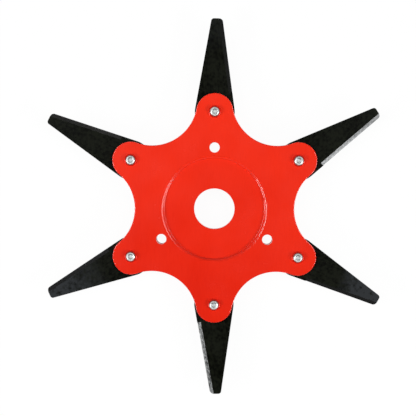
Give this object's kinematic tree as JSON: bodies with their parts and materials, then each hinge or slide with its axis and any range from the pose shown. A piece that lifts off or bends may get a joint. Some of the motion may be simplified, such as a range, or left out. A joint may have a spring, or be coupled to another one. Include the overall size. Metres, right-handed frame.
{
  "type": "brush cutter head with swinging blades",
  "caption": "Star-shaped brush cutter head: two dished red steel plates clamp pivot screws on which tapered dark blades swing freely; central arbor bore and plain holes.",
  "frame": {"origin": "on the bore's axis, where the two plates meet", "axes": "+Z along the bore towards the screw heads, +Y along the arm that holds blade 1, +X completes a right-handed frame"},
  "size_m": [0.2101, 0.2366, 0.0162],
  "materials": {
    "red_paint": "gloss powder coat",
    "blade_steel": "blackened, edges ground bright",
    "bush_steel": "turned, oiled",
    "zinc_plate": "bright zinc plate",
    "nylon": "moulded"
  },
  "bodies": {
    "hub": {"upper_plate": "red_paint", "lower_plate": "red_paint", "bush_1": "bush_steel", "screw_1": "zinc_plate", "nut_1": "zinc_plate", "lock_ring_1": "nylon", "bush_2": "bush_steel", "screw_2": "zinc_plate", "nut_2": "zinc_plate", "lock_ring_2": "nylon", "bush_3": "bush_steel", "screw_3": "zinc_plate", "nut_3": "zinc_plate", "lock_ring_3": "nylon", "bush_4": "bush_steel", "screw_4": "zinc_plate", "nut_4": "zinc_plate", "lock_ring_4": "nylon", "bush_5": "bush_steel", "screw_5": "zinc_plate", "nut_5": "zinc_plate", "lock_ring_5": "nylon", "bush_6": "bush_steel", "screw_6": "zinc_plate", "nut_6": "zinc_plate", "lock_ring_6": "nylon"},
    "blade_1_body": {"blade_1": "blade_steel"},
    "blade_2_body": {"blade_2": "blade_steel"},
    "blade_3_body": {"blade_3": "blade_steel"},
    "blade_4_body": {"blade_4": "blade_steel"},
    "blade_5_body": {"blade_5": "blade_steel"},
    "blade_6_body": {"blade_6": "blade_steel"}
  },
  "joints": [
    {"name": "blade_1_swing", "type": "hinge", "parent": "hub", "child": "blade_1_body", "pos_m": [0, 0.0606, 0], "axis": [0, 0, 1], "range_deg": [-96.8, 99.2]},
    {"name": "blade_2_swing", "type": "hinge", "parent": "hub", "child": "blade_2_body", "pos_m": [0.05248, 0.0303, 0], "axis": [0, 0, 1], "range_deg": [-99.9, 96.1]},
    {"name": "blade_3_swing", "type": "hinge", "parent": "hub", "child": "blade_3_body", "pos_m": [0.05248, -0.0303, 0], "axis": [0, 0, 1], "range_deg": [-99.5, 96.5]},
    {"name": "blade_4_swing", "type": "hinge", "parent": "hub", "child": "blade_4_body", "pos_m": [0, -0.0606, 0], "axis": [0, 0, 1], "range_deg": [-99.2, 96.8]},
    {"name": "blade_5_swing", "type": "hinge", "parent": "hub", "child": "blade_5_body", "pos_m": [-0.05248, -0.0303, 0], "axis": [0, 0, 1], "range_deg": [-92.9, 103.1]},
    {"name": "blade_6_swing", "type": "hinge", "parent": "hub", "child": "blade_6_body", "pos_m": [-0.05248, 0.0303, 0], "axis": [0, 0, 1], "range_deg": [-100.9, 95.1]}
  ]
}
